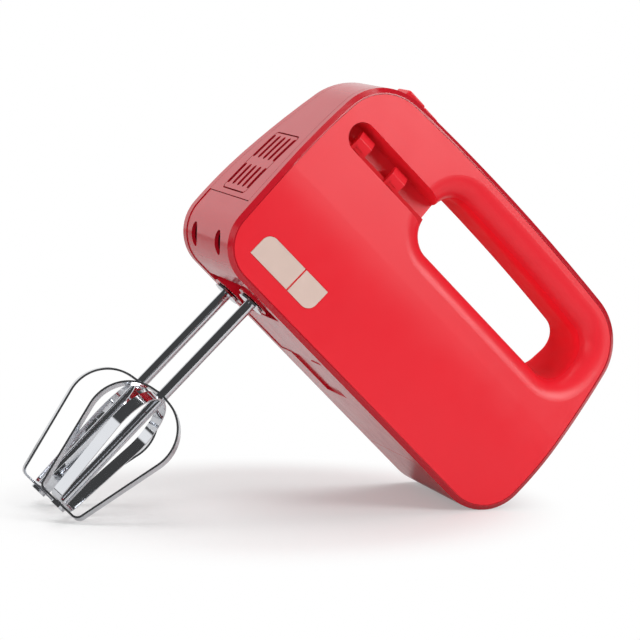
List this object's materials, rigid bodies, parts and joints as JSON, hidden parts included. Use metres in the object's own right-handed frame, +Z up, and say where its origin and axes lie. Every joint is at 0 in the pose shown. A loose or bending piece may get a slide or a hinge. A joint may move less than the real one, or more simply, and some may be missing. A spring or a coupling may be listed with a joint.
{
  "type": "hand mixer",
  "caption": "Electric hand mixer resting on its heel and beater tips, with slab-sided casing, finger opening, eject button, speed slider and intermeshing wire-strip beaters.",
  "frame": {"origin": "on the floor, below the centre of the resting mixer's bounding box", "axes": "+X along the floor from the beaters to the handle's rear, +Y to the mixer's right-hand side, +Z up"},
  "size_m": [0.2878, 0.083, 0.2034],
  "materials": {
    "red_satin": "satin",
    "red_gloss": "gloss",
    "label_metal": "satin",
    "screw_steel": "machined",
    "chrome": "polished",
    "frame_plastic": "moulded",
    "nylon": "moulded",
    "core_steel": "stamped",
    "copper": "varnished",
    "bronze": "sintered",
    "carbon": "pressed",
    "gland_rubber": "moulded"
  },
  "bodies": {
    "housing": {"left_shell": "red_satin", "right_shell": "red_satin", "handle_liner": "red_satin", "front_cover": "red_gloss", "nose_cover": "red_gloss", "belly_cover": "red_gloss", "heel_cover": "red_gloss", "handle_cover": "red_gloss", "top_bezel": "red_gloss", "vent_grille": "red_gloss", "left_edge_ring": "red_gloss", "right_edge_ring": "red_gloss", "left_label_plate": "label_metal", "right_label_plate": "label_metal", "shell_screws": "screw_steel", "eject_spring": "screw_steel", "gearbox_frame": "frame_plastic", "eject_guide": "frame_plastic", "motor_bracket": "frame_plastic", "switch_body": "frame_plastic", "terminal_block": "frame_plastic", "stator_core": "core_steel", "left_field_coil": "copper", "right_field_coil": "copper", "front_shaft_bush": "bronze", "middle_shaft_bush": "bronze", "rear_shaft_bush": "bronze", "left_lower_bush": "bronze", "left_upper_bush": "bronze", "right_lower_bush": "bronze", "right_upper_bush": "bronze", "left_brush_holder": "bronze", "right_brush_holder": "bronze", "left_brush": "carbon", "right_brush": "carbon", "cord_gland": "gland_rubber"},
    "armature": {"motor_shaft": "screw_steel", "armature_core": "core_steel", "commutator": "copper", "cooling_fan": "nylon"},
    "left_drive": {"left_worm_wheel": "nylon", "left_spindle": "screw_steel"},
    "right_drive": {"right_worm_wheel": "nylon", "right_spindle": "screw_steel"},
    "left_pusher": {"left_eject_pin": "screw_steel"},
    "right_pusher": {"right_eject_pin": "screw_steel"},
    "left_beater": {"left_beater_shaft": "chrome", "left_beater_collar": "chrome", "left_outer_loop": "chrome", "left_inner_loop": "chrome", "left_beater_hub": "chrome"},
    "right_beater": {"right_beater_shaft": "chrome", "right_beater_collar": "chrome", "right_outer_loop": "chrome", "right_inner_loop": "chrome", "right_beater_hub": "chrome"},
    "ejector": {"eject_button": "red_satin", "eject_plate": "frame_plastic"},
    "speed_control": {"speed_slider": "red_satin"}
  },
  "joints": [
    {"name": "armature_spin", "type": "hinge", "parent": "housing", "child": "armature", "pos_m": [-0.02092, -0.00162, 0.12366], "axis": [0.7095, 0, -0.7047], "continuous": true},
    {"name": "left_spindle_spin", "type": "hinge", "parent": "housing", "child": "left_drive", "pos_m": [-0.02092, -0.02112, 0.12366], "axis": [0.7047, 0, 0.7095], "continuous": true},
    {"name": "right_spindle_spin", "type": "hinge", "parent": "housing", "child": "right_drive", "pos_m": [-0.02092, 0.01788, 0.12366], "axis": [0.7047, 0, 0.7095], "continuous": true},
    {"name": "eject_press", "type": "slide", "parent": "housing", "child": "ejector", "axis": [-0.7047, 0, -0.7095], "range_m": [0, 0.004], "stiffness_N_per_m": 500, "springref_m": -0.006, "deforming": ["eject_spring"]},
    {"name": "left_pusher_slide", "type": "slide", "parent": "left_drive", "child": "left_pusher", "axis": [-0.7047, 0, -0.7095], "range_m": [0, 0.004]},
    {"name": "right_pusher_slide", "type": "slide", "parent": "right_drive", "child": "right_pusher", "axis": [-0.7047, 0, -0.7095], "range_m": [0, 0.004]},
    {"name": "left_beater_release", "type": "slide", "parent": "left_pusher", "child": "left_beater", "axis": [-0.7047, 0, -0.7095], "range_m": [0, 0.036]},
    {"name": "right_beater_release", "type": "slide", "parent": "right_pusher", "child": "right_beater", "axis": [-0.7047, 0, -0.7095], "range_m": [0, 0.036]},
    {"name": "speed_slide", "type": "slide", "parent": "housing", "child": "speed_control", "axis": [0.7095, 0, -0.7047], "range_m": [0, 0.015]}
  ],
  "couplings": [
    {"joint": "left_spindle_spin", "follows": "armature_spin", "ratio": 0.033333},
    {"joint": "right_spindle_spin", "follows": "armature_spin", "ratio": -0.033333},
    {"joint": "left_pusher_slide", "follows": "eject_press", "ratio": 1},
    {"joint": "right_pusher_slide", "follows": "eject_press", "ratio": 1}
  ]
}
